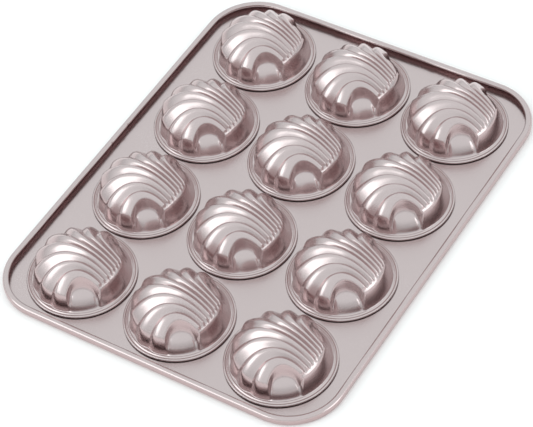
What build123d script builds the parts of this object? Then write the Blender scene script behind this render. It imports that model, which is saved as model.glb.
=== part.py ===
from build123d import *
import math
import os
import numpy as np

# The pan lies with its shells upwards. The baking face of its sheet is the plane of zero
# height, and the origin is the middle of that face. Every length is in millimetres.

# Sheet and layout of the cups
sheet_thickness = 0.8
cup_columns = 3
cup_rows = 4
cup_pitch = 82.0

# Open rolled rim round the sheet, measured to the centre line of its curl
side_margin = 51.5
end_margin = 45.9
corner_radius = 40.0
curl_outer_radius = 2.5
curl_centre_height = 4.2
curl_end_angle = 145.0
wall_bend_radius = 2.0

# Two small nicks in the free edge of the curl on one long side
nick_spacing = 21.0
nick_width = 1.4
nick_depth = 1.1

# Collar of the sheet round each hole, which stands in the crimped bead of the cup
collar_radius = 36.1
collar_height = 1.8
collar_bend_radius = 0.5
crimp_clearance = 0.12

# Crimped ring of a cup: lip, bead, groove, second bead and land, outwards to inwards
lip_radius = 39.5
lip_height = 1.9
lip_thickness = 0.3
bead_radius = 38.45
bead_height = 2.8
groove_radius = 37.25
groove_height = 2.05
inner_bead_radius = 36.2
inner_bead_height = 2.7
land_radius = 35.55
land_height = 2.3
land_thickness = 1.0

# Dome of the shell through the creases of its flutes, and how far a crest stands out of it
crown_height = 32.8
crown_offset = 0.6
dome_half_length = 37.2
dome_half_width = 35.8
dome_power = 0.7
crest_rise = 2.3
crest_swell_at_hinge = 1.2
crest_swell_at_foot = 3.4

# Fan of flutes, which run side by side from the hinge and then spread to the foot
flutes_per_side = 4
flute_pitch_at_hinge = 3.75
hinge_offset = 31.3
hinge_arc_radius = 27.8
hinge_arc_angle = 22.0
hinge_run = 41.7
hinge_run_step = 5.9
foot_run = 29.0
foot_run_step = 4.0
fan_angle_step = 34.3
fan_angle_squeeze_share = 0.073
fan_reach = 38.6
flute_round_share = 0.45
flute_lean_share = 0.33
flute_fade_share = 0.45
flute_end_shares = (0.012, 0.034)
ridge_fade_lines = (3.0, 4.6)

# Walls of the shell down to the land
foot_radius = 35.3
foot_scallop = 1.4
foot_slope = 6.0
foot_blend = 6.0
ear_side_inset = 2.6
ear_side_share = 0.6
back_foot_radius = 36.3
back_slope = 3.1
back_blend = 1.0
back_angles = (26.0, 44.0)

# Pair of ears beside the hinge
ear_span = 2.0
ear_reach = 42.5
ear_edge_angle = 41.0
ear_edge_sweep_fan = 30.0
ear_edge_sweep_back = 21.0
ear_drop = 8.5
ear_drop_shares = (-0.5, 0.12)
ear_angle = 52.5
ear_top_height = 14.6
ear_top_radius = 30.0
ear_top_slope = 0.25
ear_half_width = 10.8
ear_side_slope = 3.8
ear_face_radius = 33.9
ear_face_slope = 6.0
ear_side_blend = 8.0
ear_face_blend = 8.0
ear_root_blend = 6.0

# Patches of the skin of a shell: their edges across and along the flutes, and their degree
patch_degree = 6
ear_lines = (0.4, 0.8, 1.3, 2.0)
back_row_shares = (-1, -0.3)
fan_row_shares = (0.06, 0.16, 0.32, 0.52, 0.72, 0.84, 0.92, 1)
lowest_dome_share = 0.02
cut_overrun = 5.0


def smooth_step(start, end, value):
    """A ramp from 0 at start to 1 at end, level at both."""
    u = min(max((value - start) / (end - start), 0), 1)
    return u * u * (3 - 2 * u)


def smooth_min(first, second, blend):
    """The lower of two heights, rounded over a blend."""
    gap = max(blend - abs(first - second), 0)
    return min(first, second) - gap * gap / (4 * blend)


def smooth_max(first, second, blend):
    """The higher of two heights, rounded over a blend."""
    return -smooth_min(-first, -second, blend)


def fan_angle(across):
    """Angle at the foot of a line of the fan, from the far side of the hinge."""
    return math.radians(fan_angle_step * across / (1 + fan_angle_squeeze_share * across))


def fan_place(across, along):
    """Place in plan of a skin point: along is 0 on the hinge, 1 at the fan's foot, -1 at the back."""
    side = -1 if across < 0 else 1
    line = min(abs(across), flutes_per_side)
    hinge_y = flute_pitch_at_hinge * line
    hinge_x = hinge_offset - hinge_y * hinge_y / (2 * hinge_arc_radius)
    if along < 0:
        turn = math.radians(hinge_arc_angle) * line / flutes_per_side
        x = hinge_x - (fan_reach * math.cos(turn) - hinge_x) * along
        y = hinge_y - (fan_reach * math.sin(turn) - hinge_y) * along
    else:
        turn = fan_angle(line)
        foot_x = -fan_reach * math.cos(turn)
        foot_y = fan_reach * math.sin(turn)
        inward_share = 1 - (foot_run - foot_run_step * line) / fan_reach
        near_x = hinge_x - hinge_run + hinge_run_step * line
        left = 1 - along
        weights = (left**3, 3 * along * left**2, 3 * along**2 * left, along**3)
        xs = (hinge_x, near_x, foot_x * inward_share, foot_x)
        ys = (hinge_y, hinge_y, foot_y * inward_share, foot_y)
        x = sum(weight * value for weight, value in zip(weights, xs))
        y = sum(weight * value for weight, value in zip(weights, ys))
    outward = min(max((abs(across) - flutes_per_side) / ear_span, 0), 1)
    sweep = ear_edge_sweep_fan if along > 0 else ear_edge_sweep_back
    edge = math.radians(ear_edge_angle + sweep * along)
    x = (1 - outward) * x + outward * ear_reach * math.cos(edge)
    y = (1 - outward) * y + outward * ear_reach * math.sin(edge)
    return x, side * y


def flute_hollow(across):
    """Share of the flute depth at a line: 0 on a crest, 1 in a crease."""
    line = abs(across)
    if line >= flutes_per_side:
        return 1
    turn = line - math.floor(line)
    swing = 2 * turn * (1 + flute_lean_share * (1 - turn)) - 1
    wave = (1 - math.cos(math.pi * swing)) / 2
    return (1 - flute_round_share) * swing * swing + flute_round_share * wave


def shell_height(across, along, x, y, inset):
    """Height of a skin: fluted dome, walls down to the foot, and ears, all drawn in by an inset."""
    radius = math.hypot(x, y)
    bearing = abs(math.degrees(math.atan2(y, x)))
    hollow = flute_hollow(across)
    beyond = max(abs(across) - flutes_per_side, 0)
    fluted = smooth_step(*flute_end_shares, along)
    ridge = (1 - flute_fade_share) * (1 - smooth_step(*ridge_fade_lines, abs(across)))
    crest = (1 - hollow) * fluted + ridge * (1 - fluted)
    growth = (crest_swell_at_foot - crest_swell_at_hinge) * max(along, 0)
    swell = crest * (crest_swell_at_hinge + growth) - inset
    lengthwise = (x - crown_offset) / (dome_half_length + swell)
    spread = lengthwise**2 + (y / (dome_half_width + swell)) ** 2
    rise = crown_height + crest_rise * crest - sheet_thickness - inset
    dome = rise * max(1 - spread, lowest_dome_share) ** dome_power
    top = dome - ear_drop * beyond * smooth_step(*ear_drop_shares, along)
    back = 1 - smooth_step(*back_angles, bearing)
    scallop = foot_scallop * hollow + ear_side_inset * smooth_step(0, ear_side_share, beyond)
    foot = (foot_radius - scallop) * (1 - back) + back_foot_radius * back - inset
    slope = foot_slope * (1 - back) + back_slope * back
    blend = foot_blend * (1 - back) + back_blend * back
    body = smooth_min(top, slope * (foot - radius), blend)
    sideways = abs(math.radians(bearing - ear_angle) * radius)
    ear_rise = ear_top_height - sheet_thickness - inset
    ear_top = ear_rise + ear_top_slope * (ear_top_radius - radius)
    ear_side = ear_side_slope * (ear_half_width - inset - sideways)
    ear_face = ear_face_slope * (ear_face_radius - inset - radius)
    ear = smooth_min(smooth_min(ear_top, ear_side, ear_side_blend), ear_face, ear_face_blend)
    return sheet_thickness + smooth_max(body, ear, ear_root_blend)


def outer_point(across, along):
    """A point of the outer skin."""
    x, y = fan_place(across, along)
    return x, y, shell_height(across, along, x, y, 0)


def inner_point(across, along):
    """A point of the inner skin, which is the outer form drawn in by the thickness of the sheet."""
    x, y = fan_place(across, along)
    return x, y, shell_height(across, along, x, y, sheet_thickness)


def bernstein_rows(degree):
    """Weights of the control points of a Bezier curve at evenly spaced places along it."""
    places = [step / degree for step in range(degree + 1)]
    terms = range(degree + 1)
    return [[math.comb(degree, k) * u**k * (1 - u) ** (degree - k) for k in terms] for u in places]


def even_steps(limits):
    """Evenly spaced values from one limit to the other, one for each control point."""
    span = limits[1] - limits[0]
    return [limits[0] + span * step / patch_degree for step in range(patch_degree + 1)]


def skin_patch(place_point, lines, rows):
    """Bezier face through skin points on an even grid between two lines and two rows."""
    points = [[place_point(a, b) for b in even_steps(rows)] for a in even_steps(lines)]
    unweigh = np.linalg.inv(np.array(bernstein_rows(patch_degree)))
    poles = np.einsum("ai,bj,ijk->abk", unweigh, unweigh, np.array(points))
    return Face.make_bezier_surface([[Vector(*pole) for pole in row] for row in poles.tolist()])


def skin_side(place_point, places, drop):
    """Upright wall under one edge of a skin, from the points along that edge."""
    points = np.array([place_point(*place) for place in places])
    poles = np.linalg.inv(np.array(bernstein_rows(patch_degree))) @ points
    return Face.extrude(Edge.make_bezier(*[Vector(*pole) for pole in poles.tolist()]), drop)


def skin_lines():
    """Edges of the patches across the flutes: the creases and the lines over the ears."""
    right = list(range(1, flutes_per_side + 1)) + [flutes_per_side + line for line in ear_lines]
    return [-line for line in reversed(right)] + [0] + right


def skin_rows():
    """Edges of the patches along the flutes, closest beside the hinge."""
    return list(back_row_shares) + [0] + list(flute_end_shares) + list(fan_row_shares)


def pairs(values):
    """Neighbours in a list."""
    return list(zip(values[:-1], values[1:]))


def skin_body(place_point, floor_height):
    """Solid under a skin, down to a flat floor."""
    lines = skin_lines()
    rows = skin_rows()
    drop = Vector(0, 0, -2 * (crown_height + cut_overrun))
    skin = [skin_patch(place_point, line, row) for line in pairs(lines) for row in pairs(rows)]
    sides = [
        skin_side(place_point, [(line, along) for along in even_steps(row)], drop)
        for line in (lines[0], lines[-1])
        for row in pairs(rows)
    ]
    sides += [
        skin_side(place_point, [(across, row) for across in even_steps(line)], drop)
        for row in (rows[0], rows[-1])
        for line in pairs(lines)
    ]
    under = [face.moved(Location(drop)) for face in skin]
    body = Solid(Shell(skin + sides + under))
    block = Cylinder(2 * fan_reach, -2 * drop.Z, align=(Align.CENTER, Align.CENTER, Align.MIN))
    return body & (Pos(0, 0, floor_height) * block)


def ring_disc():
    """Land and crimped ring of a cup, turned about its middle, with the slot for the collar."""
    top = Spline(
        (lip_radius, lip_height),
        (bead_radius, bead_height),
        (groove_radius, groove_height),
        (inner_bead_radius, inner_bead_height),
        (land_radius, land_height),
        tangents=[(0, 1), (-1, 0), (-1, 0), (-1, 0), (-1, 0)],
    )
    slot_inner = collar_radius - crimp_clearance
    slot_outer = collar_radius + sheet_thickness + crimp_clearance
    under = Polyline(
        (land_radius, land_height),
        (0, land_height),
        (0, land_height - land_thickness),
        (slot_inner, land_height - land_thickness),
        (slot_inner, collar_height),
        (slot_outer, collar_height),
        (slot_outer, lip_height - lip_thickness),
        (lip_radius, lip_height - lip_thickness),
        (lip_radius, lip_height),
    )
    return revolve(Plane.XZ * make_face(top + under), Axis.Z)


def shell_cup():
    """One pressed cup: the hollow scallop shell standing on its land and ring, clear of the slot."""
    shell = skin_body(outer_point, (land_height + collar_height) / 2) + ring_disc()
    return shell - skin_body(inner_point, -cut_overrun)


def rim_section():
    """Section of the rolled rim: out from the sheet, up the outer wall and over into the curl."""
    bend_offset = curl_outer_radius - wall_bend_radius
    bend_middle = (bend_offset, wall_bend_radius)
    curl_middle = (0, curl_centre_height)
    inner_radius = curl_outer_radius - sheet_thickness
    outer_curl = CenterArc(curl_middle, curl_outer_radius, 0, curl_end_angle)
    inner_curl = CenterArc(curl_middle, inner_radius, 0, curl_end_angle)
    outline = [
        Line((bend_offset, sheet_thickness), (bend_offset, 0)),
        CenterArc(bend_middle, wall_bend_radius, -90, 90),
        Line((curl_outer_radius, wall_bend_radius), (curl_outer_radius, curl_centre_height)),
        outer_curl,
        Line(outer_curl @ 1, inner_curl @ 1),
        inner_curl,
        Line((inner_radius, curl_centre_height), (inner_radius, wall_bend_radius)),
        CenterArc(bend_middle, wall_bend_radius - sheet_thickness, -90, 90),
    ]
    return Plane.XZ * make_face(Curve() + outline)


def rolled_rim():
    """Rim all round the sheet: four straight runs and four quarter turns of one section."""
    section = rim_section()
    long_run = Pos(half_width, 0, 0) * extrude(section, corner_y, both=True)
    short_run = Pos(half_length, 0, 0) * extrude(section, corner_x, both=True)
    quarter = revolve(Pos(corner_radius - curl_outer_radius, 0, 0) * section, Axis.Z, 90)
    signs = ((1, 1), (-1, 1), (-1, -1), (1, -1))
    rim = [Rot(0, 0, 180 * end) * long_run for end in (0, 1)]
    rim += [Rot(0, 0, 90 + 180 * end) * short_run for end in (0, 1)]
    for turns, (x_sign, y_sign) in enumerate(signs):
        rim.append(Pos(x_sign * corner_x, y_sign * corner_y, 0) * Rot(0, 0, 90 * turns) * quarter)
    return rim


def hole_collar():
    """Short collar turned up out of the sheet round the hole of one cup."""
    bend_middle = (hole_radius, sheet_thickness + collar_bend_radius)
    baking_bend = CenterArc(bend_middle, collar_bend_radius + sheet_thickness, -90, -90)
    upper_bend = CenterArc(bend_middle, collar_bend_radius, -90, -90)
    outer_radius = collar_radius + sheet_thickness
    outline = [
        Line((hole_radius, sheet_thickness), (hole_radius, 0)),
        baking_bend,
        Polyline(
            baking_bend @ 1,
            (collar_radius, collar_height),
            (outer_radius, collar_height),
            upper_bend @ 1,
        ),
        upper_bend,
    ]
    return revolve(Plane.XZ * make_face(Curve() + outline), Axis.Z)


def frame_sheet():
    """The flat sheet with its rolled rim, its nicks, its holes and their collars."""
    flat_reach = 2 * (curl_outer_radius - wall_bend_radius)
    flat_radius = corner_radius - wall_bend_radius
    flat = RectangleRounded(2 * half_width + flat_reach, 2 * half_length + flat_reach, flat_radius)
    sheet = extrude(flat, sheet_thickness) + rolled_rim()
    turn = math.radians(curl_end_angle)
    nick_x = -half_width - curl_outer_radius * math.cos(turn)
    nick_z = curl_centre_height + curl_outer_radius * math.sin(turn)
    nick = Box(2 * nick_depth, nick_width, 2 * nick_depth)
    sheet -= [Pos(nick_x, end * nick_spacing / 2, nick_z) * nick for end in (-1, 1)]
    hole = Cylinder(hole_radius, 2 * cut_overrun)
    collar = hole_collar()
    sheet -= [Pos(x, y, 0) * hole for name, x, y in cup_places]
    return sheet + [Pos(x, y, 0) * collar for name, x, y in cup_places]


half_width = (cup_columns - 1) * cup_pitch / 2 + side_margin
half_length = (cup_rows - 1) * cup_pitch / 2 + end_margin
corner_x = half_width + curl_outer_radius - corner_radius
corner_y = half_length + curl_outer_radius - corner_radius
hole_radius = collar_radius + sheet_thickness + collar_bend_radius
column_places = [(column - (cup_columns - 1) / 2) * cup_pitch for column in range(cup_columns)]
row_places = [(row - (cup_rows - 1) / 2) * cup_pitch for row in range(cup_rows)]
cup_places = [
    (f"r{row + 1}_c{column + 1}", column_places[column], row_places[row])
    for row in range(cup_rows)
    for column in range(cup_columns)
]

os.makedirs("parts", exist_ok=True)
export_step(frame_sheet(), "parts/frame_sheet.step")
cup = shell_cup()
for name, x, y in cup_places:
    export_step(Pos(x, y, 0) * cup, f"parts/shell_cup_{name}.step")
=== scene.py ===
"""Looks of a madeleine pan: crimped scallop-shell cups in a flat sheet with an open rolled rim.

The pan lies with its shells up. Sizes are millimetres until a mesh is made, then metres.
"""

import logging
import math
from collections.abc import Callable
from dataclasses import dataclass, field
from enum import Enum

import bmesh
import bpy
import numpy as np
from mathutils import Matrix, Vector


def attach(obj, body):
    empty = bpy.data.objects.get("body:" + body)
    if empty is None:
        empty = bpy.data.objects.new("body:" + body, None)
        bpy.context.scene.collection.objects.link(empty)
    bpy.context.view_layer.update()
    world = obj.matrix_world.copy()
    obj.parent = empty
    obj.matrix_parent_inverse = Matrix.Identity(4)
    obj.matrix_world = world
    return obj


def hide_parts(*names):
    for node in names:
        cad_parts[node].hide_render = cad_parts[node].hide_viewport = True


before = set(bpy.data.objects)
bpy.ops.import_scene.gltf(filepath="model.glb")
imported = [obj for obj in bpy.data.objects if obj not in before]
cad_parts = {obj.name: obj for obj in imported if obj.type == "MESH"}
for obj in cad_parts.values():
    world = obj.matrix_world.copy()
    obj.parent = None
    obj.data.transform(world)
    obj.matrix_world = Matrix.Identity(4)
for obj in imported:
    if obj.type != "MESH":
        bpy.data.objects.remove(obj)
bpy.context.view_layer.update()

LOG = logging.getLogger("madeleine_pan")
MM = 0.001
WELD = 0.000002


def smooth_ramp(start: float, end: float, value: np.ndarray) -> np.ndarray:
    """Rises from 0 at start to 1 at end, level at both: three u squared less two u cubed."""
    u = np.clip((value - start) / (end - start), 0, 1)
    return u * u * (3 - 2 * u)


def smooth_min(first: np.ndarray, second: np.ndarray, blend: np.ndarray) -> np.ndarray:
    """The lower of two heights, less the square of what they lack of the blend over four blends."""
    gap = np.clip(blend - np.abs(first - second), 0, None)
    return np.minimum(first, second) - gap * gap / (4 * blend)


def smooth_max(first: np.ndarray, second: np.ndarray, blend: np.ndarray) -> np.ndarray:
    """The higher of two heights, rounded over a blend."""
    return -smooth_min(-first, -second, blend)


def grid_faces(index: np.ndarray) -> np.ndarray:
    """Quads of a grid of point numbers.

    Args:
        index: Point numbers, one row for each step of the first parameter.

    Returns:
        One line of four point numbers for each quad.
    """
    corners = (index[:-1, :-1], index[1:, :-1], index[1:, 1:], index[:-1, 1:])
    return np.stack(corners, -1).reshape(-1, 4)


def closed_mesh(name: str, points: np.ndarray, faces: np.ndarray, sharp: float) -> bpy.types.Mesh:
    """Makes a welded mesh whose faces point outwards.

    Args:
        name: Name of the mesh.
        points: Places in millimetres, one line each.
        faces: Quads, as point numbers.
        sharp: Angle in degrees past which an edge is shaded sharp.

    Returns:
        The mesh, in metres.
    """
    mesh = bpy.data.meshes.new(name)
    mesh.from_pydata((points * MM).tolist(), [], faces.tolist())
    work = bmesh.new()
    work.from_mesh(mesh)
    bmesh.ops.remove_doubles(work, verts=work.verts, dist=WELD)
    bmesh.ops.recalc_face_normals(work, faces=work.faces)
    work.to_mesh(mesh)
    work.free()
    mesh.shade_smooth()
    mesh.set_sharp_from_angle(angle=math.radians(sharp))
    return mesh


class Skin(Enum):
    """The two faces of a pressed sheet, as shares of its thickness drawn in from the outside."""

    OUTER = 0.0
    INNER = 1.0


@dataclass(frozen=True)
class Layout:
    """Places of the cups in the sheet."""

    columns: int = 3
    rows: int = 4
    pitch: float = 82.0

    def centre(self, column: int, row: int) -> tuple[float, float]:
        """Middle of one cup, counted from the low corner of the sheet."""
        x = (column - (self.columns - 1) / 2) * self.pitch
        return x, (row - (self.rows - 1) / 2) * self.pitch

    def cells(self) -> list[tuple[int, int]]:
        """Column and row of every cup."""
        return [(column, row) for row in range(self.rows) for column in range(self.columns)]


@dataclass(frozen=True)
class Collar:
    """Collar of the sheet round one hole."""

    thickness: float = 0.8
    radius: float = 36.1
    height: float = 1.8
    bend: float = 0.5
    bend_steps: int = 6

    @property
    def hole_radius(self) -> float:
        """Radius at which the flat sheet ends and the collar's bend begins."""
        return self.radius + self.thickness + self.bend

    def section(self) -> np.ndarray:
        """Radius and height from the sheet's upper face over the collar to its baking face.

        The bend is a quarter circle on either face, and the collar's wall stands straight on it.

        Returns:
            The points of the section, one line each.
        """
        turn = np.radians(np.linspace(0, 90, self.bend_steps + 1))
        middle_height = self.thickness + self.bend
        upper = (self.hole_radius - self.bend * np.sin(turn), middle_height - self.bend * np.cos(turn))
        wide = self.bend + self.thickness
        lower = (self.hole_radius - wide * np.sin(turn), middle_height - wide * np.cos(turn))
        top = np.array([[self.radius + self.thickness, self.height], [self.radius, self.height]])
        return np.concatenate([np.stack(upper, -1), top, np.stack(lower, -1)[::-1]])


@dataclass(frozen=True)
class CrimpRing:
    """Double-bead ring of a cup, which closes over the collar."""

    lip_radius: float = 39.5
    lip_height: float = 1.9
    lip_thickness: float = 0.3
    stations: tuple[float, ...] = (35.55, 36.2, 37.25, 38.45)
    heights: tuple[float, ...] = (2.3, 2.7, 2.05, 2.8)
    land_thickness: float = 1.0
    clearance: float = 0.12
    steps: int = 54
    lip_steps: int = 9
    land_steps: int = 27

    @property
    def land_height(self) -> float:
        """Height of the flat land between the shell's foot and the inner bead."""
        return self.heights[0]

    @property
    def underside(self) -> float:
        """Height of the land's lower face."""
        return self.land_height - self.land_thickness

    def top(self, radius: np.ndarray) -> np.ndarray:
        """Upper face: smooth ramps from bead to groove to bead, then a quarter ellipse to the lip.

        Args:
            radius: Distances from the middle of the cup.

        Returns:
            The heights.
        """
        stations = np.array(self.stations)
        heights = np.array(self.heights)
        first = np.clip(np.searchsorted(stations, radius) - 1, 0, len(stations) - 2)
        share = smooth_ramp(0, 1, (radius - stations[first]) / (stations[first + 1] - stations[first]))
        beads = heights[first] + (heights[first + 1] - heights[first]) * share
        out = np.clip((radius - stations[-1]) / (self.lip_radius - stations[-1]), 0, 1)
        edge = self.lip_height + (heights[-1] - self.lip_height) * np.sqrt(1 - out * out)
        return np.where(radius > stations[-1], edge, beads)

    def top_radii(self, start: float) -> np.ndarray:
        """Radii of the rows of the upper face, even as far as the outer bead and closest at the lip.

        Args:
            start: Radius of the first row.

        Returns:
            The radii.
        """
        bead = self.stations[-1]
        to_bead = np.linspace(start, bead, self.steps)
        quarter = np.radians(np.linspace(0, 90, self.lip_steps))
        return np.concatenate([to_bead, bead + (self.lip_radius - bead) * np.sin(quarter[1:])])

    def under_section(self, collar: Collar) -> np.ndarray:
        """Radius and height from the lip's edge, round the slot for the collar, to the land.

        Args:
            collar: The collar that stands in the slot.

        Returns:
            The points of the section, one line each.
        """
        inner = collar.radius - self.clearance
        outer = collar.radius + collar.thickness + self.clearance
        low = self.lip_height - self.lip_thickness
        points = [(self.lip_radius, low), (outer, low), (outer, collar.height), (inner, collar.height)]
        return np.array(points + [(inner, self.underside)])


@dataclass(frozen=True)
class Fan:
    """Lines of the flutes in plan: side by side at the hinge, then spread round the foot."""

    flutes: int = 4
    hinge_pitch: float = 3.75
    hinge_offset: float = 31.3
    hinge_arc_radius: float = 27.8
    hinge_arc_angle: float = 22.0
    hinge_run: float = 41.7
    hinge_run_step: float = 5.9
    foot_run: float = 29.0
    foot_run_step: float = 4.0
    angle_step: float = 34.3
    angle_squeeze_share: float = 0.073
    reach: float = 38.6
    ear_span: float = 2.0
    ear_reach: float = 42.5
    ear_edge_angle: float = 41.0
    ear_sweep_fan: float = 30.0
    ear_sweep_back: float = 21.0

    def place(self, across: np.ndarray, along: np.ndarray) -> tuple[np.ndarray, np.ndarray]:
        """Plan places of skin points.

        Each flute line is a cubic Bezier curve from the hinge, level at first and radial at the
        foot. Behind the hinge it is a straight line, and beyond the last crease the lines blend
        straight to an arc outside the ears.

        Args:
            across: Line of the fan, 0 in the middle and whole numbers at the creases.
            along: 0 on the hinge, 1 at the fan's foot and -1 at the foot of the back wall.

        Returns:
            The x and y places.
        """
        line = np.minimum(np.abs(across), self.flutes)
        hinge_y = self.hinge_pitch * line
        hinge_x = self.hinge_offset - hinge_y**2 / (2 * self.hinge_arc_radius)
        turn = np.radians(self.angle_step * line / (1 + self.angle_squeeze_share * line))
        foot_x, foot_y = -self.reach * np.cos(turn), self.reach * np.sin(turn)
        inward = 1 - (self.foot_run - self.foot_run_step * line) / self.reach
        near_x = hinge_x - self.hinge_run + self.hinge_run_step * line
        out = np.clip(along, 0, 1)
        left = 1 - out
        weights = (left**3, 3 * out * left**2, 3 * out**2 * left, out**3)
        xs = (hinge_x, near_x, foot_x * inward, foot_x)
        ys = (hinge_y, hinge_y, foot_y * inward, foot_y)
        x = sum(weight * value for weight, value in zip(weights, xs))
        y = sum(weight * value for weight, value in zip(weights, ys))
        back = np.clip(-along, 0, 1)
        back_turn = np.radians(self.hinge_arc_angle) * line / self.flutes
        x = x + (self.reach * np.cos(back_turn) - hinge_x) * back
        y = y + (self.reach * np.sin(back_turn) - hinge_y) * back
        outward = np.clip((np.abs(across) - self.flutes) / self.ear_span, 0, 1)
        sweep = np.where(along > 0, self.ear_sweep_fan, self.ear_sweep_back)
        edge = np.radians(self.ear_edge_angle + sweep * along)
        x = (1 - outward) * x + outward * self.ear_reach * np.cos(edge)
        y = (1 - outward) * y + outward * self.ear_reach * np.sin(edge)
        return x, np.where(across < 0, -y, y)

    def radius(self, across: np.ndarray, along: np.ndarray) -> np.ndarray:
        """Distance of skin points from the middle of the cup."""
        return np.hypot(*self.place(across, along))


@dataclass(frozen=True)
class ShellForm:
    """Heights of a scallop shell: fluted dome, walls down to the foot, and a pair of ears."""

    fan: Fan = field(default_factory=Fan)
    sheet: float = 0.8
    crown_height: float = 32.8
    crown_offset: float = 0.6
    half_length: float = 37.2
    half_width: float = 35.8
    power: float = 0.7
    lowest_share: float = 0.02
    crest_rise: float = 2.3
    swell_at_hinge: float = 1.2
    swell_at_foot: float = 3.4
    round_share: float = 0.45
    lean_share: float = 0.33
    fade_share: float = 0.45
    flute_end_shares: tuple[float, float] = (0.012, 0.034)
    last_hollow_share: float = 0.3
    foot_radius: float = 35.3
    foot_scallop: float = 1.4
    foot_slope: float = 6.0
    foot_blend: float = 6.0
    ear_inset: float = 1.4
    ear_inset_share: float = 0.9
    back_foot_radius: float = 36.3
    back_slope: float = 3.1
    back_blend: float = 1.0
    back_angles: tuple[float, float] = (26.0, 52.0)
    ear_drop: float = 26.0
    ear_drop_line: float = 3.92
    ear_drop_ease: float = 0.08
    ear_drop_shares: tuple[float, float] = (-0.3, 0.3)
    ear_angle: float = 52.5
    ear_top_height: float = 13.2
    ear_top_radius: float = 30.0
    ear_top_slope: float = 0.55
    ear_half_width: float = 12.0
    ear_side_slope: float = 3.4
    ear_face_radius: float = 35.6
    ear_face_slope: float = 2.6
    ear_side_blend: float = 6.5
    ear_face_blend: float = 8.0
    ear_root_blend: float = 4.2

    def hollow(self, across: np.ndarray) -> np.ndarray:
        """Share of the flute depth: a parabola and a cosine mixed, 0 on a crest and 1 in a crease.

        Past the crest of the last flute the depth is a share of that, and so it stays beyond it.

        Args:
            across: Lines of the fan.

        Returns:
            The shares.
        """
        line = np.abs(across)
        turn = line - np.floor(line)
        swing = 2 * turn * (1 + self.lean_share * (1 - turn)) - 1
        wave = (1 - np.cos(np.pi * swing)) / 2
        flute = (1 - self.round_share) * swing**2 + self.round_share * wave
        past_last_crest = (line > self.fan.flutes - 1) & (swing > 0)
        flute = np.where(past_last_crest, self.last_hollow_share * flute, flute)
        return np.where(line < self.fan.flutes, flute, self.last_hollow_share)

    def dome(
        self, x: np.ndarray, y: np.ndarray, crest: np.ndarray, along: np.ndarray, inset: float
    ) -> np.ndarray:
        """Fluted dome: one less the squared spread from the crown, to a power, times the rise.

        Args:
            x: Plan places.
            y: Plan places.
            crest: Share of a crest, 0 in a crease.
            along: Place along the flute, which gives how far a crest stands out.
            inset: How far the skin lies inside the outer one.

        Returns:
            Heights over the sheet.
        """
        growth = (self.swell_at_foot - self.swell_at_hinge) * np.clip(along, 0, None)
        swell = crest * (self.swell_at_hinge + growth) - inset
        lengthwise = (x - self.crown_offset) / (self.half_length + swell)
        spread = lengthwise**2 + (y / (self.half_width + swell)) ** 2
        rise = self.crown_height + self.crest_rise * crest - self.sheet - inset
        return rise * np.clip(1 - spread, self.lowest_share, None) ** self.power

    def ear(self, bearing: np.ndarray, radius: np.ndarray, inset: float) -> np.ndarray:
        """Ear block: the smooth least of its top, its two sides and its outer face, each of steady slope.

        Args:
            bearing: Angles about the middle of the cup, in degrees from the hinge.
            radius: Distances from the middle of the cup.
            inset: How far the skin lies inside the outer one.

        Returns:
            Heights over the sheet.
        """
        sideways = np.abs(np.radians(bearing - self.ear_angle) * radius)
        top = self.ear_top_height - self.sheet - inset + self.ear_top_slope * (self.ear_top_radius - radius)
        side = self.ear_side_slope * (self.ear_half_width - inset - sideways)
        face = self.ear_face_slope * (self.ear_face_radius - inset - radius)
        return smooth_min(smooth_min(top, side, self.ear_side_blend), face, self.ear_face_blend)

    def height(
        self, across: np.ndarray, along: np.ndarray, x: np.ndarray, y: np.ndarray, skin: Skin
    ) -> np.ndarray:
        """Height of a skin over the baking face.

        Towards the ears the fluted dome drops away, in proportion to the lines past a set line.
        It meets a wall of steady slope in a smooth least, and the ear blocks join in a smooth
        most. The inner skin has every size drawn in by the sheet.

        Args:
            across: Line of the fan that gives the flute.
            along: Place along the flute that gives its depth.
            x: Plan places.
            y: Plan places.
            skin: The face of the sheet.

        Returns:
            The heights.
        """
        inset = skin.value * self.sheet
        radius = np.hypot(x, y)
        bearing = np.abs(np.degrees(np.arctan2(y, x)))
        hollow = self.hollow(across)
        beyond = np.clip(np.abs(across) - self.fan.flutes, 0, None)
        fluted = smooth_ramp(*self.flute_end_shares, along)
        crest = (1 - hollow) * fluted + (1 - self.fade_share) * (1 - fluted)
        dome = self.dome(x, y, crest, along, inset)
        fall = np.clip(np.abs(across) - self.ear_drop_line, 0, None)
        eased = np.sqrt(fall**2 + self.ear_drop_ease**2) - self.ear_drop_ease
        top = dome - self.ear_drop * eased * smooth_ramp(*self.ear_drop_shares, along)
        back = 1 - smooth_ramp(*self.back_angles, bearing)
        scallop = self.foot_scallop * hollow + self.ear_inset * smooth_ramp(0, self.ear_inset_share, beyond)
        foot = (self.foot_radius - scallop) * (1 - back) + self.back_foot_radius * back - inset
        slope = self.foot_slope * (1 - back) + self.back_slope * back
        blend = self.foot_blend * (1 - back) + self.back_blend * back
        body = smooth_min(top, slope * (foot - radius), blend)
        ear = self.ear(bearing, radius, inset)
        return self.sheet + smooth_max(body, ear, self.ear_root_blend)


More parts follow.
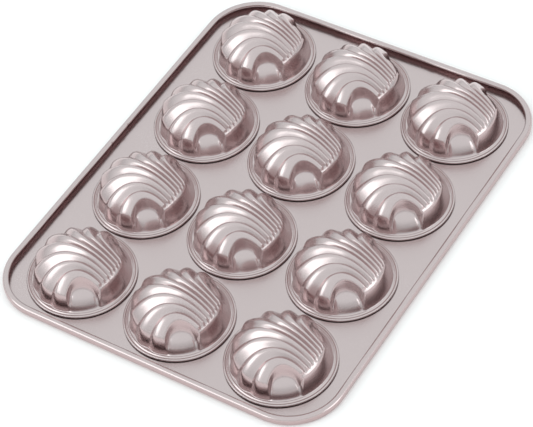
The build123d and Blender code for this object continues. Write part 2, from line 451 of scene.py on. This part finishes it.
@dataclass(frozen=True)
class ShellCup:
    """One pressed cup: the shell's two skins, its land and its crimped ring, as one closed sheet."""

    form: ShellForm = field(default_factory=ShellForm)
    ring: CrimpRing = field(default_factory=CrimpRing)
    collar: Collar = field(default_factory=Collar)
    join_radius: float = 31.5
    foot_fillet: float = 2.4
    mouth_fillet: float = 1.0
    steps_per_flute: int = 14
    ear_steps: int = 22
    fan_steps: int = 76
    back_steps: int = 16
    fan_power: float = 1.6
    search_start: float = 0.5
    search_steps: int = 40
    sharp_angle: float = 38.0

    def _search(
        self, radius_at: Callable[[np.ndarray], np.ndarray], low: np.ndarray, high: np.ndarray
    ) -> np.ndarray:
        """Values between two limits where a rising radius meets the join, by halving the span.

        Args:
            radius_at: Gives the radius at a value.
            low: Values inside the join.
            high: Values outside it.

        Returns:
            The values at the join.
        """
        for _ in range(self.search_steps):
            middle = (low + high) / 2
            outside = radius_at(middle) > self.join_radius
            low, high = np.where(outside, low, middle), np.where(outside, middle, high)
        return (low + high) / 2

    def skin_grid(self) -> tuple[np.ndarray, np.ndarray]:
        """Grid of across and along values that fills the circle of the join.

        Each flute line is cut where it meets the circle, and beside the last crease the lines are
        even shares of the way from that crease to the circle.

        Returns:
            The across and the along values, one row for each line.
        """
        fan = self.form.fan
        lines = np.linspace(-fan.flutes, fan.flutes, 2 * fan.flutes * self.steps_per_flute + 1)
        hinge, foot = np.zeros_like(lines), np.ones_like(lines)
        ahead = self._search(lambda along: fan.radius(lines, along), hinge + self.search_start, foot)
        behind = self._search(lambda along: fan.radius(lines, -along), hinge, foot)
        down = np.linspace(1, 0, self.back_steps + 1)[:-1]
        out = np.linspace(0, 1, self.fan_steps + 1) ** self.fan_power
        along = np.concatenate([-behind[:, None] * down, ahead[:, None] * out], axis=1)
        across = np.repeat(lines[:, None], along.shape[1], axis=1)
        crease = along[-1]
        last = np.full_like(crease, fan.flutes)
        widest = self._search(lambda line: fan.radius(line, crease), last, last + fan.ear_span)
        share = np.linspace(0, 1, self.ear_steps + 1)[1:, None]
        ear_across = fan.flutes + (widest - fan.flutes) * share
        ear_along = np.repeat(crease[None], self.ear_steps, axis=0)
        across = np.concatenate([-ear_across[::-1], across, ear_across])
        return across, np.concatenate([ear_along[::-1], along, ear_along])

    def build(self) -> tuple[np.ndarray, np.ndarray]:
        """Points and quads of a cup about its own middle.

        Returns:
            The points in millimetres, and the quads.
        """
        across, along = self.skin_grid()
        x, y = self.form.fan.place(across, along)
        outer = self.form.height(across, along, x, y, Skin.OUTER)
        inner = self.form.height(across, along, x, y, Skin.INNER)
        top = smooth_max(outer, self.ring.top(np.hypot(x, y)), self.foot_fillet)
        under = smooth_max(inner, np.full_like(x, self.ring.underside), self.mouth_fillet)
        skins = [np.stack([x, y, z], -1).reshape(-1, 3) for z in (top, under)]
        index = np.arange(x.size).reshape(x.shape)
        loop = np.concatenate([index[:, 0], index[-1, 1:], index[-2::-1, -1], index[0, -2:0:-1]])
        columns = [values.reshape(-1)[loop][:, None] for values in (across, along, x, y)]
        rim, rim_faces = self._ring_grid(*columns)
        points = np.concatenate(skins + [rim])
        faces = [grid_faces(index), grid_faces(index + x.size)[:, ::-1], rim_faces + 2 * x.size]
        return points, np.concatenate(faces)

    def _ring_grid(
        self, across: np.ndarray, along: np.ndarray, x: np.ndarray, y: np.ndarray
    ) -> tuple[np.ndarray, np.ndarray]:
        """Shell foot, land, beads, lip and slot, as the section carried round the join's circle.

        Args:
            across: Line of the fan at each of the circle's points, in a column.
            along: Place along that line.
            x: Place of the point.
            y: Place of the point.

        Returns:
            The points in millimetres, and the quads.
        """
        start = np.hypot(x, y)
        upper_radii = np.tile(self.ring.top_radii(self.join_radius), (len(start), 1))
        upper_radii[:, :1] = start
        under_points = self.ring.under_section(self.collar)
        last = np.linspace(under_points[-1, 0], self.join_radius, self.ring.land_steps)[1:]
        under_radii = np.tile(np.concatenate([under_points[:, 0], last]), (len(start), 1))
        under_radii[:, -1:] = start
        upper_x, upper_y = upper_radii * x / start, upper_radii * y / start
        under_x, under_y = under_radii * x / start, under_radii * y / start
        upper = smooth_max(
            self.form.height(across, along, upper_x, upper_y, Skin.OUTER),
            self.ring.top(upper_radii),
            self.foot_fillet,
        )
        upper = np.where(upper_radii > self.ring.stations[2], self.ring.top(upper_radii), upper)
        land = smooth_max(
            self.form.height(across, along, under_x, under_y, Skin.INNER),
            np.full_like(under_x, self.ring.underside),
            self.mouth_fillet,
        )
        flat = np.concatenate([under_points[:, 1], np.full(len(last), self.ring.underside)])
        past_slot = np.arange(len(flat)) >= len(under_points)
        under = np.where(past_slot, land, flat)
        grid = np.concatenate(
            [np.stack([upper_x, upper_y, upper], -1), np.stack([under_x, under_y, under], -1)], axis=1
        )
        index = np.arange(grid.shape[0] * grid.shape[1]).reshape(grid.shape[:2])
        closed = np.concatenate([index, index[:1]])
        return grid.reshape(-1, 3), grid_faces(closed)


@dataclass(frozen=True)
class FrameSheet:
    """Flat sheet with collared holes and an open rolled rim."""

    layout: Layout = field(default_factory=Layout)
    collar: Collar = field(default_factory=Collar)
    side_margin: float = 51.5
    end_margin: float = 45.9
    corner_radius: float = 40.0
    curl_radius: float = 2.5
    curl_height: float = 4.2
    curl_end_angle: float = 145.0
    wall_bend_radius: float = 2.0
    nick_spacing: float = 21.0
    nick_width: float = 1.4
    nick_angle: float = 28.0
    nick_fade: float = 0.35
    nick_stations: int = 13
    flat_shares: tuple[float, ...] = (1.0, 0.5, 0.12)
    left_limit: float = -0.99
    side_steps: int = 26
    corner_steps: int = 30
    curl_steps: int = 22
    bend_steps: int = 6
    tip_steps: int = 6
    sharp_angle: float = 50.0

    @property
    def bend_offset(self) -> float:
        """How far the flat sheet runs out past the curl's centre line."""
        return self.curl_radius - self.wall_bend_radius

    @property
    def flat_half(self) -> tuple[float, float]:
        """Half width and half length of the flat part."""
        x, y = self.layout.centre(self.layout.columns - 1, self.layout.rows - 1)
        return x + self.side_margin + self.bend_offset, y + self.end_margin + self.bend_offset

    def outline(self, column: int, row: int) -> list[tuple[np.ndarray, np.ndarray | None]]:
        """Outline of the part of the sheet round one cup, anticlockwise, in runs.

        A straight run has a point at each even step of the angle about the cup, so that two
        neighbours meet in the same points. A corner of the pan is an arc.

        Args:
            column: Column of the cup.
            row: Row of the cup.

        Returns:
            Each run's points, and its outward normals where it lies on the pan's edge.
        """
        middle = np.array(self.layout.centre(column, row))
        half = self.layout.pitch / 2
        on_edge = (
            column == self.layout.columns - 1,
            row == self.layout.rows - 1,
            column == 0,
            row == 0,
        )
        flat_x, flat_y = self.flat_half
        limits = (
            flat_x if on_edge[0] else middle[0] + half,
            flat_y if on_edge[1] else middle[1] + half,
            -flat_x if on_edge[2] else middle[0] - half,
            -flat_y if on_edge[3] else middle[1] - half,
        )
        right, far, left, near = limits
        corners = [(right, far), (left, far), (left, near), (right, near)]
        arc_radius = self.corner_radius - self.wall_bend_radius
        runs: list[tuple[np.ndarray, np.ndarray | None]] = []
        starts, ends = [], []
        for turn, corner in enumerate(corners):
            rounded = on_edge[turn] and on_edge[(turn + 1) % 4]
            quarter = np.radians(90 * turn + np.linspace(0, 90, self.corner_steps + 1))
            around = np.stack([np.cos(quarter), np.sin(quarter)], -1)
            inward = np.sign(middle - np.array(corner))
            arc = np.array(corner) + inward * arc_radius + arc_radius * around
            ends.append(arc[0] if rounded else np.array(corner))
            starts.append(arc[-1] if rounded else np.array(corner))
            if rounded:
                runs.append((arc, around))
        for side in range(4):
            begin, finish = starts[side - 1], ends[side]
            normal = np.array([math.cos(math.pi / 2 * side), math.sin(math.pi / 2 * side)])
            points = self._straight_run(begin - middle, finish - middle, side == 2 and on_edge[2], middle[1])
            runs.append((points + middle, np.tile(normal, (len(points), 1)) if on_edge[side] else None))
        return runs

    def _straight_run(
        self, begin: np.ndarray, finish: np.ndarray, nicked: bool, middle_y: float
    ) -> np.ndarray:
        """Points where rays at even angles from the cup's middle meet the line between two points.

        Args:
            begin: First point, from the cup's middle.
            finish: Last point, from the cup's middle.
            nicked: Whether the run gets more points at the nicks.
            middle_y: Place of the cup's middle along the pan.

        Returns:
            The points, from the cup's middle.
        """
        angles = np.unwrap(np.arctan2([begin[1], finish[1]], [begin[0], finish[0]]))
        steps = np.linspace(angles[0], angles[1], self.side_steps + 1)
        if nicked:
            spread = np.linspace(-1, 1, self.nick_stations) * (self.nick_width / 2 + self.nick_fade)
            places = np.concatenate([end * self.nick_spacing / 2 + spread for end in (-1, 1)]) - middle_y
            extra = np.arctan2(places, np.full_like(places, begin[0])) % (2 * math.pi)
            low, high = sorted((steps[0], steps[-1]))
            extra = np.where(extra > high, extra - 2 * math.pi, extra)
            steps = np.sort(np.concatenate([steps, extra[(extra > low) & (extra < high)]]))
        ray = np.stack([np.cos(steps), np.sin(steps)], -1)
        edge = finish - begin
        reach = (begin[0] * edge[1] - begin[1] * edge[0]) / (ray[:, 0] * edge[1] - ray[:, 1] * edge[0])
        return ray * reach[:, None]

    def plate_grid(self, points: np.ndarray, middle: np.ndarray) -> np.ndarray:
        """Sheet from one run of the outline in to the collar and back out on the baking face.

        Args:
            points: The run's points.
            middle: Middle of the cup.

        Returns:
            The places, one row for each of the run's points.
        """
        away = points - middle
        reach = np.hypot(away[:, 0], away[:, 1])[:, None]
        ray = away / reach
        section = self.collar.section()
        flat = self.collar.hole_radius + (reach - self.collar.hole_radius) * np.array(self.flat_shares)
        round_hole = np.repeat(section[None, :, 0], len(points), axis=0)
        radii = np.concatenate([flat, round_hole, flat[:, ::-1]], axis=1)
        rows = len(self.flat_shares)
        upper = np.full(rows, self.collar.thickness)
        heights = np.concatenate([upper, section[:, 1], np.zeros(rows)])
        xy = middle + radii[..., None] * ray[:, None]
        return np.concatenate([xy, np.broadcast_to(heights[None, :, None], xy.shape[:2] + (1,))], -1)

    def rim_grid(self, points: np.ndarray, normals: np.ndarray) -> np.ndarray:
        """Rim along one run of the pan's edge: the section of wall and curl carried along it.

        The curl is an arc about its centre line whose end angle dips at the two nicks, and its
        free edge is a half round.

        Args:
            points: Points of the run, on the end of the flat sheet.
            normals: Outward normals at the points.

        Returns:
            The places, one row for each of the run's points.
        """
        sheet = self.collar.thickness
        on_side = normals[:, 0] < self.left_limit
        off_nick = np.abs(np.abs(points[:, 1]) - self.nick_spacing / 2)
        nick_half = self.nick_width / 2
        dip = 1 - smooth_ramp(nick_half - self.nick_fade, nick_half + self.nick_fade, off_nick)
        end = np.radians(self.curl_end_angle - self.nick_angle * dip * on_side)[:, None]
        turn = end * np.linspace(0, 1, self.curl_steps + 1)
        bend = np.radians(np.linspace(-90, 0, self.bend_steps + 1))[None] + 0 * end
        cap = np.radians(np.linspace(0, 180, self.tip_steps + 1))[None, 1:-1] + 0 * end
        inner = self.curl_radius - sheet
        outwards, onwards = self._ray(end), self._ray(end + math.pi / 2)
        tip = -np.cos(cap)[..., None] * outwards + np.sin(cap)[..., None] * onwards
        tip_middle = self._arc(0, self.curl_height, self.curl_radius - sheet / 2, end)
        parts = [
            self._arc(self.bend_offset, self.wall_bend_radius, self.wall_bend_radius - sheet, bend),
            self._arc(0, self.curl_height, inner, turn),
            tip_middle + (sheet / 2) * tip,
            self._arc(0, self.curl_height, self.curl_radius, turn[:, ::-1]),
            self._arc(self.bend_offset, self.wall_bend_radius, self.wall_bend_radius, bend[:, ::-1]),
        ]
        section = np.concatenate(parts, axis=1)
        out = section[..., 0] - self.bend_offset
        xy = points[:, None] + out[..., None] * normals[:, None]
        return np.concatenate([xy, section[..., 1:]], -1)

    @staticmethod
    def _ray(angle: np.ndarray) -> np.ndarray:
        """Unit directions in the section, outwards and upwards."""
        return np.stack([np.cos(angle), np.sin(angle)], -1)

    def _arc(self, out: float, height: float, radius: float, angle: np.ndarray) -> np.ndarray:
        """Points of the section on an arc about a middle."""
        return np.array([out, height]) + radius * self._ray(angle)

    def build(self) -> tuple[np.ndarray, np.ndarray]:
        """Points and quads of the whole sheet, seams doubled until they are welded.

        Returns:
            The points in millimetres, and the quads.
        """
        points, faces, count = [], [], 0
        for column, row in self.layout.cells():
            middle = np.array(self.layout.centre(column, row))
            for run, normals in self.outline(column, row):
                grids = [self.plate_grid(run, middle)]
                if normals is not None:
                    grids.append(self.rim_grid(run, normals)[:, ::-1])
                for grid in grids:
                    index = count + np.arange(grid.shape[0] * grid.shape[1]).reshape(grid.shape[:2])
                    points.append(grid.reshape(-1, 3))
                    faces.append(grid_faces(index))
                    count += index.size
        return np.concatenate(points), np.concatenate(faces)


class Signal:
    """A shader socket that takes part in Python maths."""

    def __init__(self, bench: "ShaderBench", socket: bpy.types.NodeSocket) -> None:
        """Keeps the bench that makes nodes, and the socket."""
        self.bench = bench
        self.socket = socket

    def _maths(self, operation: str, first: "Signal | float", second: "Signal | float") -> "Signal":
        """Adds a Math node."""
        node = self.bench.node("ShaderNodeMath", {"operation": operation}, {0: first, 1: second})
        return Signal(self.bench, node.outputs[0])

    def __add__(self, other: "Signal | float") -> "Signal":
        """Sum."""
        return self._maths("ADD", self, other)

    def __sub__(self, other: "Signal | float") -> "Signal":
        """Difference."""
        return self._maths("SUBTRACT", self, other)

    def __rsub__(self, other: float) -> "Signal":
        """Difference from a number."""
        return self._maths("SUBTRACT", other, self)

    def __mul__(self, other: "Signal | float") -> "Signal":
        """Product."""
        return self._maths("MULTIPLY", self, other)

    __radd__ = __add__
    __rmul__ = __mul__


class ShaderBench:
    """The node tree of a material or a world, with one method that adds nodes."""

    def __init__(self, owner: bpy.types.Material | bpy.types.World, output: str) -> None:
        """Empties the owner's node tree but for its output.

        Args:
            owner: The material or world.
            output: Type of its output node.
        """
        owner.use_nodes = True
        self.tree = owner.node_tree
        self.tree.nodes.clear()
        self.output = self.tree.nodes.new(output)

    def finish(self, shader: "Signal") -> None:
        """Leads a shader to the output's surface."""
        self.tree.links.new(shader.socket, self.output.inputs["Surface"])

    def node(self, kind: str, settings: dict, inputs: dict) -> bpy.types.Node:
        """Adds a node.

        Args:
            kind: Type of the node.
            settings: Its settings, set before its sockets.
            inputs: Values or signals of its sockets, by name or number.

        Returns:
            The node.
        """
        node = self.tree.nodes.new(kind)
        for key, value in settings.items():
            setattr(node, key, value)
        for key, value in inputs.items():
            if isinstance(value, Signal):
                self.tree.links.new(value.socket, node.inputs[key])
            else:
                node.inputs[key].default_value = value
        return node

    def signal(self, kind: str, settings: dict, inputs: dict, output: str | int = 0) -> Signal:
        """Adds a node and gives one of its outputs as a signal."""
        return Signal(self, self.node(kind, settings, inputs).outputs[output])


@dataclass(frozen=True)
class BakedCoat:
    """Champagne metal-flake release coat, sprayed on sheet steel and baked."""

    name: str = "champagne_coat"
    light_tone: tuple[float, float, float] = (0.58, 0.435, 0.435)
    dark_tone: tuple[float, float, float] = (0.50, 0.375, 0.375)
    metallic: float = 1.0
    roughness: float = 0.25
    clear_weight: float = 0.4
    clear_index: float = 1.6
    clear_roughness: float = 0.12
    flake_scale: float = 3200.0
    flake_detail: float = 2.0
    flake_share: float = 0.7
    flake_roughness: float = 0.10
    flake_relief: float = 0.4
    peel_scale: float = 700.0
    peel_detail: float = 3.0
    peel_height: float = 0.00001
    cloud_scale: float = 22.0
    cloud_detail: float = 3.0
    cloud_roughness: float = 0.06
    bump_strength: float = 0.35

    def material(self) -> bpy.types.Material:
        """Nodes of the coat: flake grain in colour and roughness, orange peel, and broad clouds.

        Returns:
            The material.
        """
        material = bpy.data.materials.new(self.name)
        bench = ShaderBench(material, "ShaderNodeOutputMaterial")
        place = bench.signal("ShaderNodeTexCoord", {}, {}, "Object")
        flake = self._noise(bench, place, self.flake_scale, self.flake_detail)
        peel = self._noise(bench, place, self.peel_scale, self.peel_detail)
        cloud = self._noise(bench, place, self.cloud_scale, self.cloud_detail)
        grain = flake * self.flake_share + cloud * (1 - self.flake_share)
        tone = bench.signal(
            "ShaderNodeMix",
            {"data_type": "RGBA"},
            {0: grain, 6: (*self.dark_tone, 1), 7: (*self.light_tone, 1)},
            2,
        )
        rough = self.roughness + (flake - 0.5) * self.flake_roughness + (cloud - 0.5) * self.cloud_roughness
        relief = peel + flake * self.flake_relief
        bump = bench.signal(
            "ShaderNodeBump",
            {},
            {"Strength": self.bump_strength, "Distance": self.peel_height, "Height": relief},
        )
        shader = bench.signal(
            "ShaderNodeBsdfPrincipled",
            {},
            {
                "Base Color": tone,
                "Metallic": self.metallic,
                "Roughness": rough,
                "Coat Weight": self.clear_weight,
                "Coat IOR": self.clear_index,
                "Coat Roughness": self.clear_roughness,
                "Normal": bump,
            },
        )
        bench.finish(shader)
        return material

    @staticmethod
    def _noise(bench: ShaderBench, place: Signal, scale: float, detail: float) -> Signal:
        """Noise about a half, at a scale per metre."""
        inputs = {"Vector": place, "Scale": scale, "Detail": detail}
        return bench.signal("ShaderNodeTexNoise", {}, inputs, "Fac")


@dataclass(frozen=True)
class SoftLight:
    """One soft box, wider than it is high."""

    name: str
    place: tuple[float, float, float]
    width: float
    height: float
    power: float
    tone: tuple[float, float, float] = (0.86, 1.0, 1.0)

    def hang(self) -> None:
        """Hangs the light, facing the pan."""
        light = bpy.data.lights.new(self.name, "AREA")
        light.shape = "RECTANGLE"
        light.size = self.width
        light.size_y = self.height
        light.color = self.tone
        light.energy = self.power
        lamp = bpy.data.objects.new(self.name, light)
        bpy.context.scene.collection.objects.link(lamp)
        lamp.location = self.place
        lamp.rotation_mode = "QUATERNION"
        lamp.rotation_quaternion = (-Vector(self.place)).to_track_quat("-Z", "Y")


@dataclass(frozen=True)
class Studio:
    """Pale floor, soft light, and the camera at the photograph's angle."""

    azimuth: float = 37.02
    elevation: float = 48.24
    roll: float = -7.44
    distance: float = 1.6331
    target: tuple[float, float, float] = (0.00384, -0.01417, 0.0008)
    focal_pixels: float = 2285.6
    frame_pixels: float = 533.0
    sensor: float = 36.0
    nearest: float = 0.01
    floor_size: float = 8.0
    floor_tone: tuple[float, float, float] = (0.96, 0.84, 0.84)
    floor_roughness: float = 0.9
    sky: float = 1.24
    sky_tone: tuple[float, float, float] = (0.84, 1.0, 1.0)
    horizon: float = 0.72
    sky_ramp: tuple[float, float] = (-0.05, 0.35)
    lights: tuple[SoftLight, ...] = (
        SoftLight("left_box", (-0.74, -1.19, 0.78), 1.5, 0.6, 4.8),
        SoftLight("right_box", (1.55, 0.14, 0.39), 0.9, 0.6, 3.4),
    )

    def lay_floor(self) -> None:
        """Plain pale floor at the height of the baking face."""
        half = self.floor_size / 2
        corners = [(-half, -half, 0), (half, -half, 0), (half, half, 0), (-half, half, 0)]
        mesh = bpy.data.meshes.new("floor")
        mesh.from_pydata(corners, [], [(0, 1, 2, 3)])
        floor = bpy.data.objects.new("floor", mesh)
        bpy.context.scene.collection.objects.link(floor)
        paper = bpy.data.materials.new("pale_floor")
        bench = ShaderBench(paper, "ShaderNodeOutputMaterial")
        finish = {"Base Color": (*self.floor_tone, 1), "Roughness": self.floor_roughness}
        bench.finish(bench.signal("ShaderNodeBsdfPrincipled", {}, finish))
        mesh.materials.append(paper)

    def light(self) -> None:
        """Soft sky, dimmer near the horizon by a smooth ramp of height, and the soft boxes."""
        world = bpy.data.worlds.new("studio")
        bench = ShaderBench(world, "ShaderNodeOutputWorld")
        place = bench.signal("ShaderNodeTexCoord", {}, {}, "Generated")
        height = bench.signal("ShaderNodeSeparateXYZ", {}, {"Vector": place}, "Z")
        low, high = self.sky_ramp
        ends = {"From Min": low, "From Max": high, "To Min": self.horizon, "To Max": self.sky}
        smooth = {"interpolation_type": "SMOOTHSTEP"}
        strength = bench.signal("ShaderNodeMapRange", smooth, {"Value": height, **ends})
        colours = {"Color": (*self.sky_tone, 1), "Strength": strength}
        bench.finish(bench.signal("ShaderNodeBackground", {}, colours))
        bpy.context.scene.world = world
        for lamp in self.lights:
            lamp.hang()

    def set_camera(self) -> None:
        """Camera at the photograph's viewing angle, rolled as it was held."""
        turn, rise, roll = (math.radians(angle) for angle in (self.azimuth, self.elevation, self.roll))
        back = Vector((math.sin(turn) * math.cos(rise), -math.cos(turn) * math.cos(rise), math.sin(rise)))
        level = Vector((0, 0, 1)).cross(back).normalized()
        upright = back.cross(level)
        right = level * math.cos(roll) + upright * math.sin(roll)
        up = upright * math.cos(roll) - level * math.sin(roll)
        lens = bpy.data.cameras.new("camera")
        lens.sensor_width = self.sensor
        lens.lens = self.focal_pixels / self.frame_pixels * self.sensor
        lens.clip_start = self.nearest
        camera = bpy.data.objects.new("camera", lens)
        bpy.context.scene.collection.objects.link(camera)
        place = Vector(self.target) + back * self.distance
        turned = Matrix((right, up, back)).transposed().to_4x4()
        camera.matrix_world = Matrix.Translation(place) @ turned
        bpy.context.scene.camera = camera
        bpy.context.scene.view_settings.view_transform = "Standard"


@dataclass(frozen=True)
class MadeleinePan:
    """The whole pan: its sheet, and a cup in each hole."""

    layout: Layout = field(default_factory=Layout)
    sheet: FrameSheet = field(default_factory=FrameSheet)
    cup: ShellCup = field(default_factory=ShellCup)
    coat: BakedCoat = field(default_factory=BakedCoat)

    def dress(self, name: str, node: str, mesh: bpy.types.Mesh) -> None:
        """Puts a finished mesh in the place of its node.

        Args:
            name: Name of the piece.
            node: Node that it stands for.
            mesh: The piece's mesh, in its place.
        """
        piece = bpy.data.objects.new(name, mesh)
        bpy.context.scene.collection.objects.link(piece)
        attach(piece, "root")
        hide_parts(node)
        LOG.info("%s: %d faces", name, len(mesh.polygons))

    def build(self) -> None:
        """Builds the sheet, then one cup, and sets a copy of the cup in each hole."""
        material = self.coat.material()
        sheet_mesh = closed_mesh("pan_sheet", *self.sheet.build(), self.sheet.sharp_angle)
        sheet_mesh.materials.append(material)
        self.dress("pan_sheet", "frame_sheet", sheet_mesh)
        pattern = closed_mesh("cup_pattern", *self.cup.build(), self.cup.sharp_angle)
        pattern.materials.append(material)
        for column, row in self.layout.cells():
            x, y = self.layout.centre(column, row)
            mesh = pattern.copy()
            mesh.transform(Matrix.Translation((x * MM, y * MM, 0)))
            name = f"r{row + 1}_c{column + 1}"
            self.dress(f"cup_{name}", f"shell_cup_{name}", mesh)
        bpy.data.meshes.remove(pattern)


def main() -> None:
    """Builds the pan, then the studio round it."""
    logging.basicConfig(level=logging.INFO, format="%(message)s")
    MadeleinePan().build()
    studio = Studio()
    studio.lay_floor()
    studio.light()
    studio.set_camera()


if __name__ == "__main__":
    main()
